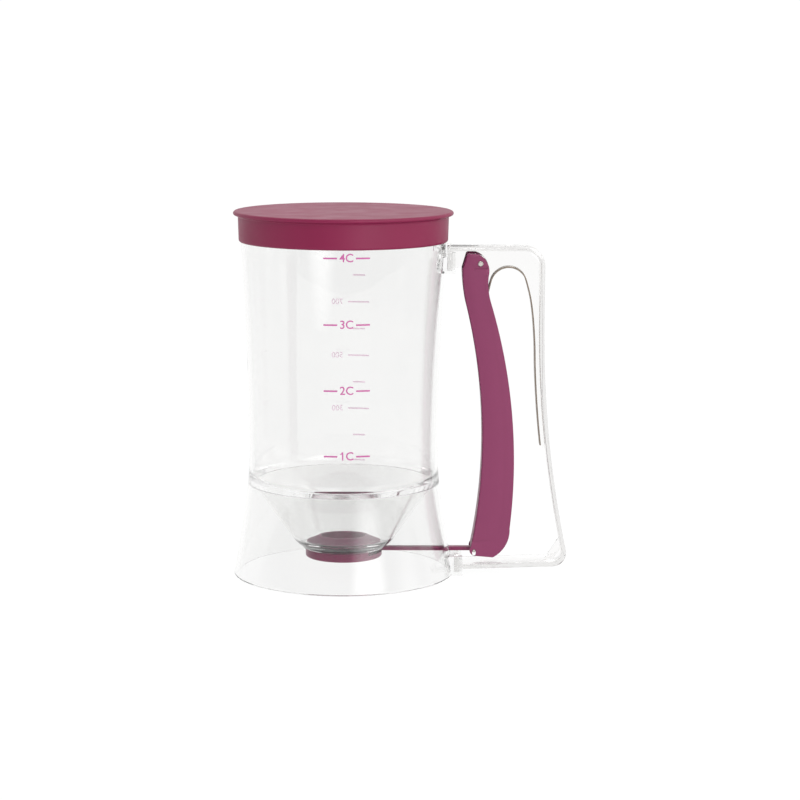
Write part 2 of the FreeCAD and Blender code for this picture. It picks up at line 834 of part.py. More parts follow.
def make_handle_frame():
    from_x = (top_plate_x, foot_plate_x)
    outer = frame_legs(0, from_x)
    inner = frame_legs(rail_thickness, from_x)
    ends = [
        Part.LineSegment(outer[-1].Vertexes[-1].Point, inner[-1].Vertexes[-1].Point).toShape(),
        Part.LineSegment(inner[0].Vertexes[0].Point, outer[0].Vertexes[0].Point).toShape(),
    ]
    strip = Part.Face(Part.Wire(Part.__sortEdges__(outer + inner + ends)))
    frame = slab(strip, handle_width / 2)
    frame = frame.fuse(handle_web())
    top_plate = block(
        top_plate_x,
        top_plate_x + plate_thickness,
        -plate_half_width,
        plate_half_width,
        top_plate_bottom_z,
        handle_top_z - rail_thickness / 2,
    )
    foot_plate = block(
        foot_plate_x,
        foot_plate_x + plate_thickness,
        -plate_half_width,
        plate_half_width,
        foot_plate_bottom_z,
        foot_plate_top_z,
    )
    boss = cross_pin(boss_radius, pivot_x, pivot_z, cheek_inner_y - boss_side_gap)
    frame = frame.fuse(top_plate).fuse(foot_plate).fuse(boss)
    foot_clear = plate_half_width + bracket_gap
    reach = foot_plate_x + plate_thickness + 2 * bracket_gap + bracket_lip_thickness
    for side in (-1, 1):
        near, far = sorted((side * (foot_clear - bracket_lip - bracket_gap), side * handle_width))
        frame = frame.cut(block(foot_plate_x + plate_thickness, reach, near, far, -1, foot_plate_top_z))
        near, far = sorted((side * plate_half_width, side * handle_width))
        frame = frame.cut(block(foot_plate_x - 1, reach, near, far, -1, foot_plate_top_z))
    return frame.cut(cross_pin(pin_radius + pin_held_gap, pivot_x, pivot_z, lever_width)).removeSplitter()


def ink_shell():
    """A thin skin over the measuring wall that the printed lines are cut from."""
    low = funnel_top_height - ink_shell_drop
    under, over = ink_gap, ink_gap + ink_thickness
    top = rim_height
    inside = chain((wall_radius(low) + under, low), *wall_legs(-under, low), (rim_radius + under, top))
    outside = chain((wall_radius(low) + over, low), *wall_legs(-over, low), (rim_radius + over, top))
    ends = [
        Part.LineSegment(inside[0].Vertexes[0].Point, outside[0].Vertexes[0].Point).toShape(),
        Part.LineSegment(inside[-1].Vertexes[-1].Point, outside[-1].Vertexes[-1].Point).toShape(),
    ]
    face = Part.Face(Part.Wire(Part.__sortEdges__(inside + outside + ends)))
    return face.revolve(ORIGIN, Z_AXIS, 360)


def printed_lines(spans, side):
    """Lines on the wall: spans are (x from, x to, z), side is -1 for the front and 1 for the back."""
    shell = ink_shell()
    lines = []
    for x0, x1, z in spans:
        near, far = sorted((0, side * (base_radius + 1)))
        lines.append(shell.common(block(x0, x1, near, far, z - line_width / 2, z + line_width / 2)))
    return Part.makeCompound([solid for line in lines for solid in line.Solids])


def make_cup_scale():
    """Two dashes at each cup line on the front, with room for the number between them."""
    spans = []
    for i in range(cup_line_count):
        z = cup_line_first_z + i * cup_line_pitch
        spans.append((cup_scale_x - cup_dash_outer, cup_scale_x - cup_dash_inner, z))
        spans.append((cup_scale_x + cup_dash_inner, cup_scale_x + cup_dash_outer, z))
    return printed_lines(spans, -1)


def make_millilitre_scale():
    """A line at each 100 ml on the back, longer at 300, 500 and 700."""
    spans = []
    for i in range(ml_line_count):
        z = ml_line_first_z + i * ml_line_pitch
        if i >= ml_long_line_first and i % ml_long_line_every == 0:
            spans.append((ml_long_line_from_x, ml_long_line_to_x, z))
        else:
            spans.append((ml_short_line_from_x, ml_short_line_to_x, z))
    return printed_lines(spans, 1)


pieces = {
    "jug_body": make_jug_body,
    "lid": make_lid,
    "handle_frame": make_handle_frame,
    "trigger_lever": make_trigger_lever,
    "pivot_pin": make_pivot_pin,
    "return_spring": make_return_spring,
    "gate_slide": make_gate_slide,
    "rod_pin": make_rod_pin,
    "outlet_cap": make_outlet_cap,
    "valve_seat": make_valve_seat,
    "cup_scale": make_cup_scale,
    "millilitre_scale": make_millilitre_scale,
}

os.makedirs("parts", exist_ok=True)
for name, make in pieces.items():
    shape = make()
    shape.exportStep("parts/" + name + ".step")
    box = shape.BoundBox
    print(
        f"{name}: {len(shape.Solids)} solids, volume {shape.Volume:.0f}, valid {shape.isValid()}, "
        f"x {box.XMin:.1f} to {box.XMax:.1f}, z {box.ZMin:.1f} to {box.ZMax:.1f}"
    )
print(f"rod travel {rod_travel:.3f}, per radian {rod_travel / travel:.3f}, slot growth {slot_growth:.3f}")
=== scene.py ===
import math

import bmesh
import bpy
import numpy as np
from mathutils import Euler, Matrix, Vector


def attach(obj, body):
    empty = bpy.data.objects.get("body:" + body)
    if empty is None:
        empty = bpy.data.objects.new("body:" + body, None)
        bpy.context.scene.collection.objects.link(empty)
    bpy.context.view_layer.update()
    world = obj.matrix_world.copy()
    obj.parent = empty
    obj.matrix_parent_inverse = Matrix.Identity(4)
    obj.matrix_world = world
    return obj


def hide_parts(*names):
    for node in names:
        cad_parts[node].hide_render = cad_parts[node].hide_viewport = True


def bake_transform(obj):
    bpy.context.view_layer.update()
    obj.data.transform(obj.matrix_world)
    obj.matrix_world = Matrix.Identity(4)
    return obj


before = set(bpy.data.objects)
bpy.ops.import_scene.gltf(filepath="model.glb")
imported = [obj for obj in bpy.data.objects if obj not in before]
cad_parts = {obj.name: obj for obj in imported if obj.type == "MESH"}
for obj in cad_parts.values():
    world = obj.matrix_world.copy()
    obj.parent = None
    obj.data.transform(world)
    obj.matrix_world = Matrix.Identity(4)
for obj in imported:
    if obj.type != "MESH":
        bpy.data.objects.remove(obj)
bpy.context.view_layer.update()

MM = 0.001

# Sizes in millimetres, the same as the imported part
WALL = 2.0
BASE_R, SHOULDER_R, SHOULDER_Z, WAIST_R, WAIST_Z = 56.7, 49.3, 48.0, 48.6, 62.0
RIM_R, FLARE_TOP, RIM_Z = 52.1, 168.0, 185.0
FUNNEL_TOP, KNEE_R, KNEE_Z, FLOOR_Z, FLOOR_R = 51.5, 25.8, 21.5, 17.2, 19.2
COLLAR_Z, COLLAR_R, OUTLET_R = 13.4, 21.4, 12.2
SPIGOT = (15.9, 17.4, 10.1)
GATE_R, GATE_Z0, GATE_Z1 = 14.4, 11.3, 13.3
PIVOT = (69.5, 160.7)
ROD_PIN = (67.3, 12.3)
RAIL_X, RAIL_T, HANDLE_TOP, BOW_Z, BOW_R = 102.1, 2.4, 169.9, 130.0, 556.0
TOP_CORNER, FOOT_CORNER, FOOT_RISE = 10.0, 7.0, 13.2
SLOPE = math.radians(1.8)
TOP_PLATE_X, FOOT_PLATE_X = 52.7, 57.1
LEVER_HALF, CHEEK = 8.0, 1.6
FRAME_HALF, WEB_HALF = 10.0, 1.1
PLATE_T, PLATE_HALF, PLATE_PLAY = 2.4, 9.0, 0.15
TOP_SHELF_Z, FOOT_SHELF_Z, SHELF_T = 157.6, 1.6, 1.6
TOP_BRACKET_Z, FOOT_BRACKET_Z = 166.8, 9.9
BRACKET_HALF, HOOK_IN, LIP_IN, LIP_T = 11.15, 9.15, 6.55, 1.6
LEDGE_T, LEAF_T, LEAF_HALF, LEAF_PLAY = 1.6, 0.7, 4.0, 0.3
LOBE_R, BOSS_R, PAD_R = 4.5, 3.5, 4.2
PIVOT_PIN_R, ROD_PIN_R, EYE_R, ROD_HALF = 1.4, 0.8, 1.5, 2.0
WINDOW_HALF, ROD_SLOT_HALF, ROD_SLOT_RISE = 14.8, 2.6, 1.6

# In the scene alone: the end plates stand this far off their shelves, so that no two clear faces
# lie in one place, and the numbers stand this far off the wall, with half this thickness
PLATE_LIFT = 0.08
INK_LIFT, INK_HALF = 0.1, 0.04

# Edges that bend by less than this many degrees are shaded smooth
CREASE = 28.0


def wall_radius(z):
    """Outer radius of the jug above the shoulder."""
    if z >= WAIST_Z:
        share = min(1, (z - WAIST_Z) / (FLARE_TOP - WAIST_Z))
        return WAIST_R + (RIM_R - WAIST_R) * share**1.8
    share = (WAIST_Z - z) / (WAIST_Z - SHOULDER_Z)
    return WAIST_R + (SHOULDER_R - WAIST_R) * share**2


# Outline helpers: every outline is a list of (x, z) or (radius, z) points in millimetres


def arc(a, b, c, count):
    """Points after a on the circle through a, b and c, up to c."""
    ax, ay = a
    bx, by = b
    cx, cy = c
    d = 2 * (ax * (by - cy) + bx * (cy - ay) + cx * (ay - by))
    if abs(d) < 1e-9:
        return [c]
    a2, b2, c2 = ax**2 + ay**2, bx**2 + by**2, cx**2 + cy**2
    ux = (a2 * (by - cy) + b2 * (cy - ay) + c2 * (ay - by)) / d
    uy = (a2 * (cx - bx) + b2 * (ax - cx) + c2 * (bx - ax)) / d
    r = math.hypot(ax - ux, ay - uy)
    t0, t1, t2 = (math.atan2(y - uy, x - ux) for x, y in (a, b, c))
    sweep = (t2 - t0) % (2 * math.pi)
    if (t1 - t0) % (2 * math.pi) > sweep:
        sweep -= 2 * math.pi
    turns = [t0 + sweep * i / count for i in range(1, count)]
    return [(ux + r * math.cos(t), uy + r * math.sin(t)) for t in turns] + [c]


def path(start, *legs, count=16):
    """Points from start: a leg is one point for a line, or (through, end) for an arc."""
    points = [start]
    for leg in legs:
        if isinstance(leg[0], tuple):
            points += arc(points[-1], leg[0], leg[1], count)
        else:
            points.append(leg)
    return points


def smooth(points, count=12):
    """A smooth curve through points, spaced by the square roots of their distances."""
    p = [np.array(q, float) for q in points]
    p = [2 * p[0] - p[1]] + p + [2 * p[-1] - p[-2]]
    out = []
    for i in range(1, len(p) - 2):
        a, b, c, d = p[i - 1 : i + 3]
        u0 = math.sqrt(np.linalg.norm(b - a))
        u1 = u0 + math.sqrt(np.linalg.norm(c - b))
        u2 = u1 + math.sqrt(np.linalg.norm(d - c))
        for j in range(count):
            t = u0 + (u1 - u0) * j / count
            ab = a + (b - a) * t / u0
            bc = b + (c - b) * (t - u0) / (u1 - u0)
            cd = c + (d - c) * (t - u1) / (u2 - u1)
            low = ab + (bc - ab) * t / u1
            high = bc + (cd - bc) * (t - u0) / (u2 - u0)
            out.append(low + (high - low) * (t - u0) / (u1 - u0))
    out.append(p[-2])
    return [tuple(q) for q in out]


def beside(points, offset):
    """The same curve moved sideways by offset."""
    out = []
    for i, (x, z) in enumerate(points):
        x0, z0 = points[max(0, i - 1)]
        x1, z1 = points[min(len(points) - 1, i + 1)]
        length = math.hypot(x1 - x0, z1 - z0)
        out.append((x - (z1 - z0) / length * offset, z + (x1 - x0) / length * offset))
    return out


# Mesh helpers


def finish_mesh(name, bm):
    """Turns a bmesh in millimetres into an object in metres with smooth faces and sharp creases."""
    bmesh.ops.remove_doubles(bm, verts=bm.verts, dist=1e-5)
    bmesh.ops.recalc_face_normals(bm, faces=bm.faces)
    mesh = bpy.data.meshes.new(name)
    bmesh.ops.scale(bm, vec=(MM, MM, MM), verts=bm.verts)
    bm.to_mesh(mesh)
    bm.free()
    obj = bpy.data.objects.new(name, mesh)
    bpy.context.scene.collection.objects.link(obj)
    crease(obj)
    return obj


def crease(obj):
    """Shades an object's faces smooth and keeps its sharper edges."""
    bm = bmesh.new()
    bm.from_mesh(obj.data)
    limit = math.radians(CREASE)
    for face in bm.faces:
        face.smooth = True
    for edge in bm.edges:
        edge.smooth = len(edge.link_faces) == 2 and edge.calc_face_angle(0) < limit
    bm.to_mesh(obj.data)
    bm.free()


def turned(name, loop, count):
    """A closed outline of (radius, z) points turned about the jug's axis."""
    bm = bmesh.new()
    rings = []
    for i in range(count):
        a = 2 * math.pi * i / count
        rings.append([bm.verts.new((r * math.cos(a), r * math.sin(a), z)) for r, z in loop])
    for i in range(count):
        here, there = rings[i], rings[(i + 1) % count]
        for j in range(len(loop)):
            k = (j + 1) % len(loop)
            if loop[j][0] < 1e-6 and loop[k][0] < 1e-6:
                continue
            bm.faces.new((here[j], there[j], there[k], here[k]))
    return finish_mesh(name, bm)


def prism(name, outline, y0, y1):
    """A side outline given a width across the part."""
    bm = bmesh.new()
    near = [bm.verts.new((x, y0, z)) for x, z in outline]
    far = [bm.verts.new((x, y1, z)) for x, z in outline]
    bm.faces.new(near)
    bm.faces.new(far[::-1])
    for i in range(len(outline)):
        j = (i + 1) % len(outline)
        bm.faces.new((near[i], far[i], far[j], near[j]))
    return finish_mesh(name, bm)


def brick(name, x0, x1, y0, y1, z0, z1):
    """A block between two corners."""
    return prism(name, [(x0, z0), (x1, z0), (x1, z1), (x0, z1)], y0, y1)


def cross_pin(name, radius, x, z, half, chamfer=0.0, count=48):
    """A round pin across the part, with chamfered ends."""
    bm = bmesh.new()
    stations = [(-half, radius - chamfer), (half, radius - chamfer)]
    if chamfer:
        stations[1:1] = [(-half + chamfer, radius), (half - chamfer, radius)]
    rings = []
    for y, r in stations:
        turns = [2 * math.pi * i / count for i in range(count)]
        rings.append([bm.verts.new((x + r * math.cos(a), y, z + r * math.sin(a))) for a in turns])
    for a, b in zip(rings, rings[1:]):
        for i in range(count):
            j = (i + 1) % count
            bm.faces.new((a[i], a[j], b[j], b[i]))
    bm.faces.new(rings[0])
    bm.faces.new(rings[-1][::-1])
    return finish_mesh(name, bm)


def sector(name, r0, r1, z0, z1, deg0, deg1, count=12):
    """Part of a ring, between two angles from +X."""
    bm = bmesh.new()
    stations = []
    for i in range(count + 1):
        a = math.radians(deg0 + (deg1 - deg0) * i / count)
        corners = ((r0, z0), (r1, z0), (r1, z1), (r0, z1))
        stations.append([bm.verts.new((r * math.cos(a), r * math.sin(a), z)) for r, z in corners])
    for a, b in zip(stations, stations[1:]):
        for i in range(4):
            j = (i + 1) % 4
            bm.faces.new((a[i], a[j], b[j], b[i]))
    bm.faces.new(stations[0])
    bm.faces.new(stations[-1][::-1])
    return finish_mesh(name, bm)


def rounded(obj, width, segments, angle=40.0):
    """Rounds an object's creased edges."""
    bevel = obj.modifiers.new("round", "BEVEL")
    bevel.width = width * MM
    bevel.segments = segments
    bevel.limit_method = "ANGLE"
    bevel.angle_limit = math.radians(angle)
    bake(obj)
    crease(obj)
    return obj


def bake(obj):
    """Applies an object's modifiers to its mesh."""
    bpy.context.view_layer.update()
    graph = bpy.context.evaluated_depsgraph_get()
    mesh = bpy.data.meshes.new_from_object(obj.evaluated_get(graph), depsgraph=graph)
    old = obj.data
    obj.modifiers.clear()
    obj.data = mesh
    bpy.data.meshes.remove(old)


def combine(base, operation, *tools):
    """Joins the tools to base or cuts them from it, and removes them."""
    for tool in tools:
        step = base.modifiers.new("step", "BOOLEAN")
        step.operation = operation
        step.solver = "EXACT"
        step.object = tool
        bake(base)
        bpy.data.objects.remove(tool, do_unlink=True)
    crease(base)
    return base


# Materials


def shader(name):
    """A new material, its nodes and its main shader."""
    material = bpy.data.materials.new(name)
    material.use_nodes = True
    tree = material.node_tree
    return material, tree, tree.nodes["Principled BSDF"]


def noise(tree, scale, detail=3.0, stretch=(1, 1, 1)):
    """Noise in the object's own space, with scale in waves per metre."""
    coords = tree.nodes.new("ShaderNodeTexCoord")
    mapping = tree.nodes.new("ShaderNodeMapping")
    mapping.inputs["Scale"].default_value = stretch
    texture = tree.nodes.new("ShaderNodeTexNoise")
    texture.inputs["Scale"].default_value = scale
    texture.inputs["Detail"].default_value = detail
    tree.links.new(coords.outputs["Object"], mapping.inputs["Vector"])
    tree.links.new(mapping.outputs["Vector"], texture.inputs["Vector"])
    return texture.outputs["Fac"]


def remap(tree, value, before, after, socket):
    """Feeds socket with value, its range moved from before to after, each (low, high)."""
    node = tree.nodes.new("ShaderNodeMapRange")
    for key, number in zip(("From Min", "From Max", "To Min", "To Max"), (*before, *after)):
        node.inputs[key].default_value = number
    tree.links.new(value, node.inputs["Value"])
    tree.links.new(node.outputs["Result"], socket)
    return node


def spread(tree, value, low, high, socket):
    """Feeds socket with a noise, its usual range moved to low and high."""
    remap(tree, value, (0.3, 0.7), (low, high), socket)


def two_tone(tree, value, a, b, socket):
    """Feeds socket with a colour that goes from a to b with value."""
    ramp = tree.nodes.new("ShaderNodeValToRGB")
    for element, position, colour in zip(ramp.color_ramp.elements, (0.35, 0.65), (a, b)):
        element.position = position
        element.color = (*colour, 1)
    tree.links.new(value, ramp.inputs["Fac"])
    tree.links.new(ramp.outputs["Color"], socket)


def bumps(tree, value, strength, distance, shader_node):
    """Gives a shader bumps of value, with their height in metres."""
    bump = tree.nodes.new("ShaderNodeBump")
    bump.inputs["Strength"].default_value = strength
    bump.inputs["Distance"].default_value = distance
    tree.links.new(value, bump.inputs["Height"])
    tree.links.new(bump.outputs["Normal"], shader_node.inputs["Normal"])


def clear_plastic(name, a, b, rough, haze=0.0):
    """Polished clear plastic; haze darkens it along the way that light goes through it."""
    material, tree, node = shader(name)
    if haze:
        absorb = tree.nodes.new("ShaderNodeVolumeAbsorption")
        absorb.inputs["Color"].default_value = (0.25, 0.23, 0.21, 1)
        absorb.inputs["Density"].default_value = haze
        tree.links.new(absorb.outputs["Volume"], tree.nodes["Material Output"].inputs["Volume"])
    node.inputs["Transmission Weight"].default_value = 1.0
    node.inputs["IOR"].default_value = 1.52
    two_tone(tree, noise(tree, 22.0), a, b, node.inputs["Base Color"])
    spread(tree, noise(tree, 160.0), 0.0, rough, node.inputs["Roughness"])
    bumps(tree, noise(tree, 45.0, 1.0), 0.05, 0.0006, node)
    return material


def moulded(name, a, b, rough, grain, depth, specular=0.5):
    """Coloured plastic with a fine moulded grain and faint flow marks."""
    material, tree, node = shader(name)
    node.inputs["Specular IOR Level"].default_value = specular
    two_tone(tree, noise(tree, 26.0, 4.0, (1, 1, 0.35)), a, b, node.inputs["Base Color"])
    spread(tree, noise(tree, 70.0), rough[0], rough[1], node.inputs["Roughness"])
    bumps(tree, noise(tree, grain, 2.0), 0.25, depth, node)
    return material


def metal(name, a, b, rough, stretch):
    """Brushed metal, its marks drawn out by stretch."""
    material, tree, node = shader(name)
    node.inputs["Metallic"].default_value = 1.0
    two_tone(tree, noise(tree, 620.0, 3.0, stretch), a, b, node.inputs["Base Color"])
    spread(tree, noise(tree, 420.0, 3.0, stretch), rough[0], rough[1], node.inputs["Roughness"])
    bumps(tree, noise(tree, 900.0, 2.0, stretch), 0.2, 0.00005, node)
    return material


jug_clear = clear_plastic("jug_clear", (0.943, 0.943, 0.939), (0.928, 0.929, 0.926), 0.02)
handle_clear = clear_plastic(
    "handle_clear", (0.966, 0.962, 0.958), (0.948, 0.943, 0.939), 0.04, haze=11.0
)
lid_red = moulded(
    "lid_red", (0.186, 0.004, 0.044), (0.205, 0.006, 0.051), (0.42, 0.52), 2600, 4e-5, specular=0.34
)
lever_red = moulded(
    "lever_red", (0.208, 0.022, 0.09), (0.232, 0.028, 0.102), (0.34, 0.44), 1700, 3e-5
)
gate_red = moulded("gate_red", (0.2, 0.014, 0.075), (0.225, 0.02, 0.088), (0.3, 0.42), 1400, 3e-5)
seat_red = moulded("seat_red", (0.26, 0.02, 0.11), (0.3, 0.03, 0.13), (0.4, 0.5), 1400, 3e-5)
cap_red = moulded("cap_red", (0.165, 0.004, 0.054), (0.19, 0.006, 0.064), (0.28, 0.38), 1400, 3e-5)
pin_steel = metal("pin_steel", (0.62, 0.58, 0.55), (0.5, 0.47, 0.44), (0.2, 0.34), (1, 8, 1))
leaf_steel = metal("leaf_steel", (0.3, 0.25, 0.205), (0.23, 0.187, 0.152), (0.24, 0.42), (1, 6, 1))
front_ink = moulded("front_ink", (0.54, 0.13, 0.35), (0.5, 0.11, 0.31), (0.5, 0.62), 3000, 2e-5)
# Painted light: the back numbers' pale pink is partly their print colour and partly lightened, and
# they also glow faintly; both stand in for the light that the clear walls keep from their inner
# face
back_ink = moulded("back_ink", (0.8, 0.62, 0.74), (0.76, 0.57, 0.7), (0.5, 0.62), 3000, 2e-5)
node = back_ink.node_tree.nodes["Principled BSDF"]
node.inputs["Emission Color"].default_value = (0.85, 0.64, 0.76, 1)
node.inputs["Emission Strength"].default_value = 0.6


def place(obj, material, body, slot, *nodes):
    """Gives a piece its material and body, and hides the CAD nodes that it stands in for; slot is
    not used.
    """
    obj.data.materials.clear()
    obj.data.materials.append(material)
    if nodes:
        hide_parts(*nodes)
    if body:
        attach(obj, body)
    return obj


# Jug


def jug_loop():
    """The jug's wall, funnel, collar, spigot and skirt as one closed outline."""
    flare = (wall_radius(FUNNEL_TOP) - WALL - KNEE_R) / (FUNNEL_TOP - KNEE_Z)
    outer_knee = KNEE_R + WALL * math.hypot(1, flare)
    skirt_mid = (BASE_R + SHOULDER_R) / 2 - 0.5
    mid_low = (SHOULDER_Z + WAIST_Z) / 2
    mid_high = (WAIST_Z + FLARE_TOP) / 2
    outside = path(
        (BASE_R - WALL + 0.3, 0),
        (BASE_R - 0.6, 0),
        ((BASE_R - 0.17, 0.17), (BASE_R, 0.6)),
        ((skirt_mid, SHOULDER_Z / 2), (SHOULDER_R, SHOULDER_Z)),
        ((wall_radius(mid_low), mid_low), (WAIST_R, WAIST_Z)),
        ((wall_radius(mid_high), mid_high), (RIM_R, FLARE_TOP)),
        (RIM_R, RIM_Z - 0.5),
        ((RIM_R - 0.15, RIM_Z - 0.15), (RIM_R - 0.5, RIM_Z)),
        (RIM_R - WALL + 0.4, RIM_Z),
        ((RIM_R - WALL + 0.12, RIM_Z - 0.12), (RIM_R - WALL, RIM_Z - 0.4)),
        (RIM_R - WALL, FLARE_TOP),
        ((wall_radius(mid_high) - WALL, mid_high), (WAIST_R - WALL, WAIST_Z)),
        count=20,
    )
    lip, below = FUNNEL_TOP + 2.5, FUNNEL_TOP - 2.5
    lip_r, cone_r = wall_radius(lip) - WALL, KNEE_R + flare * (below - KNEE_Z)
    corner = wall_radius(FUNNEL_TOP) - WALL
    bend = (FLOOR_R + 0.62 * (KNEE_R - FLOOR_R), FLOOR_Z + 0.26 * (KNEE_Z - FLOOR_Z))
    inside = path(
        outside[-1],
        ((wall_radius((lip + WAIST_Z) / 2) - WALL, (lip + WAIST_Z) / 2), (lip_r, lip)),
        (((lip_r + cone_r + 2 * corner) / 4, FUNNEL_TOP), (cone_r, below)),
        (KNEE_R, KNEE_Z),
        (bend, (FLOOR_R, FLOOR_Z)),
        (OUTLET_R + 0.6, FLOOR_Z),
        ((OUTLET_R + 0.18, FLOOR_Z - 0.18), (OUTLET_R, FLOOR_Z - 0.6)),
        (OUTLET_R, COLLAR_Z),
        (SPIGOT[0], COLLAR_Z),
        (SPIGOT[0], SPIGOT[2]),
        (SPIGOT[1], SPIGOT[2]),
        (SPIGOT[1], SPIGOT[2] + 0.3),
        ((SPIGOT[1] + 0.5, SPIGOT[2] + 0.9), (SPIGOT[1], SPIGOT[2] + 1.5)),
        (SPIGOT[1], COLLAR_Z),
        (COLLAR_R - 0.6, COLLAR_Z),
        ((COLLAR_R - 0.17, COLLAR_Z + 0.17), (COLLAR_R, COLLAR_Z + 0.6)),
        (((COLLAR_R + outer_knee) / 2 + 0.3, (COLLAR_Z + KNEE_Z) / 2 - 0.3), (outer_knee, KNEE_Z)),
        count=10,
    )[1:]
    meet_r = SHOULDER_R - WALL
    meet_z = KNEE_Z + (meet_r - outer_knee) / flare
    half, rounding = math.atan(flare) / 2, 0.5
    run, near = rounding / math.tan(half), rounding / math.sin(half) - rounding
    on_cone = (meet_r - run * math.sin(2 * half), meet_z - run * math.cos(2 * half))
    on_wall = (meet_r, meet_z - run)
    hollow = path(
        on_cone,
        ((meet_r - near * math.sin(half), meet_z - near * math.cos(half)), on_wall),
        ((skirt_mid - WALL, SHOULDER_Z / 2), (BASE_R - WALL, 0.3)),
        count=20,
    )
    return outside + inside + hollow


def hooked_bracket(root, x_face, z0, z1):
    """The clear bracket of one end plate, from a slanted root line inside the jug's wall."""
    front, back = x_face - PLATE_PLAY, x_face + PLATE_T + PLATE_PLAY
    tip, low = back + LIP_T, z0 - SHELF_T
    outline = [root[0], (tip, low), (tip, z0), (front, z0), (front, z1), root[1]]
    body = prism("bracket", outline, -BRACKET_HALF, BRACKET_HALF)
    for side in (-1, 1):
        y0, y1 = sorted((side * HOOK_IN, side * BRACKET_HALF))
        wall = prism("hook", [root[0], (tip, low), (tip, z1), root[1]], y0, y1)
        y0, y1 = sorted((side * LIP_IN, side * BRACKET_HALF))
        lip = brick("lip", back, tip, y0, y1, low, z1)
        combine(body, "UNION", wall, lip)
    return body


jug = turned("jug", jug_loop(), 256)
window = brick("window", 0, 20, -WINDOW_HALF, WINDOW_HALF, 9.0, COLLAR_Z - 0.02)
rod_z = ROD_PIN[1]
slot_ends = (rod_z - ROD_SLOT_RISE, rod_z + ROD_SLOT_RISE)
slot_cut = brick("slot", 44, 60, -ROD_SLOT_HALF, ROD_SLOT_HALF, *slot_ends)
combine(jug, "DIFFERENCE", window, slot_cut)
top_root = [(50.2, TOP_SHELF_Z - SHELF_T), (50.35, TOP_BRACKET_Z)]
top_bracket = hooked_bracket(top_root, TOP_PLATE_X, TOP_SHELF_Z, TOP_BRACKET_Z)
foot_root = [(55.2, FOOT_SHELF_Z - SHELF_T), (53.5, FOOT_BRACKET_Z)]
foot_bracket = hooked_bracket(foot_root, FOOT_PLATE_X, FOOT_SHELF_Z, FOOT_BRACKET_Z)
ribs = [sector("rib", 51.2, 53.3, 164.6, TOP_BRACKET_Z, s * 10.3, s * 22.0) for s in (-1, 1)]
combine(jug, "UNION", top_bracket, foot_bracket, *ribs)
place(jug, jug_clear, "dispenser", "clear_jug", "jug_body")

# Lid
LIP_R = RIM_R - WALL - 0.3
BAND_IN, BAND_OUT, BAND_Z = RIM_R + 0.3, RIM_R + 1.4, RIM_Z - 13.4
lid = turned(
    "lid_shell",
    path(
        (0, 187.0),
        (54.6, 187.0),
        ((55.62, 186.6), (55.9, 185.9)),
        ((55.72, 185.3), (55.0, 185.0)),
        (BAND_OUT + 0.35, 184.5),
        ((BAND_OUT + 0.1, 184.2), (BAND_OUT, 183.6)),
        (BAND_OUT - 0.32, BAND_Z + 1.3),
        ((BAND_OUT - 0.5, BAND_Z + 0.4), (BAND_OUT - 0.95, BAND_Z)),
        (BAND_IN, BAND_Z),
        (BAND_IN, RIM_Z),
        (LIP_R, RIM_Z),
        (LIP_R, RIM_Z - 4.2),
        (LIP_R - 0.5, RIM_Z - 5.0),
        (LIP_R - 1.3, RIM_Z - 5.0),
        (LIP_R - 1.3, RIM_Z),
        (0, RIM_Z),
        count=8,
    ),
    256,
)
place(lid, lid_red, "lid", "lid_plastic", "lid")

# Handle
BOW = math.asin((BOW_Z - FOOT_RISE) / BOW_R)


def bow_point(inset, angle):
    """A point of the bowed rear rail, inset from its outside."""
    radius = BOW_R + inset
    return (RAIL_X + BOW_R - radius * math.cos(angle), BOW_Z - radius * math.sin(angle))


FOOT_TIP = bow_point(0, BOW)
FOOT_CENTRE = (
    FOOT_TIP[0] - FOOT_CORNER * math.cos(BOW),
    FOOT_TIP[1] - FOOT_CORNER * math.sin(BOW),
)


def foot_end(inset):
    """The point where the foot's corner runs out into the lower rail."""
    r = FOOT_CORNER - inset
    return (FOOT_CENTRE[0] + r * math.sin(SLOPE), FOOT_CENTRE[1] - r * math.cos(SLOPE))


def foot_rail_z(inset, x):
    """Height of the lower rail at x."""
    end = foot_end(inset)
    return end[1] - (end[0] - x) * math.tan(SLOPE)


def rail_point(inset, z):
    """A point of the rear rail at height z."""
    if z >= BOW_Z:
        return (RAIL_X - inset, z)
    return bow_point(inset, math.asin((BOW_Z - z) / (BOW_R + inset)))


def frame_path(inset):
    """The handle strip's outline from the top plate round to the foot plate."""
    centre = (RAIL_X - TOP_CORNER, HANDLE_TOP - TOP_CORNER)
    r, foot_r = TOP_CORNER - inset, FOOT_CORNER - inset
    top_mid = (centre[0] + r * math.sqrt(0.5), centre[1] + r * math.sqrt(0.5))
    turn = (BOW + SLOPE - math.pi / 2) / 2
    foot_mid = (FOOT_CENTRE[0] + foot_r * math.cos(turn), FOOT_CENTRE[1] + foot_r * math.sin(turn))
    return path(
        (TOP_PLATE_X, HANDLE_TOP - inset),
        (centre[0], HANDLE_TOP - inset),
        (top_mid, (RAIL_X - inset, centre[1])),
        (RAIL_X - inset, BOW_Z),
        (bow_point(inset, BOW / 2), bow_point(inset, BOW)),
        (foot_mid, foot_end(inset)),
        (FOOT_PLATE_X, foot_rail_z(inset, FOOT_PLATE_X)),
        count=24,
    )


def leaf_points():
    """Centre line of the leaf spring, from its tip over the loop and down the ledge of the rail."""
    off = RAIL_T + LEDGE_T + LEAF_PLAY + LEAF_T / 2
    turns = [math.radians(deg) for deg in (14, 28, 45, 67, 90, 113, 135, 152, 169)]
    loop = [(84.0 - 9.3 * math.cos(a), 149.4 + 9.3 * math.sin(a)) for a in turns]
    rail = [rail_point(off, z) for z in (120.0, 107.0, 93.5, 80.0, 67.0)]
    leg = [(68.4, 123.5), (69.2, 127.5), (70.3, 132.5), (71.6, 137.5), (73.4, 145.0)]
    return leg + loop + [(95.2, 143.0), (96.5, 134.0)] + rail


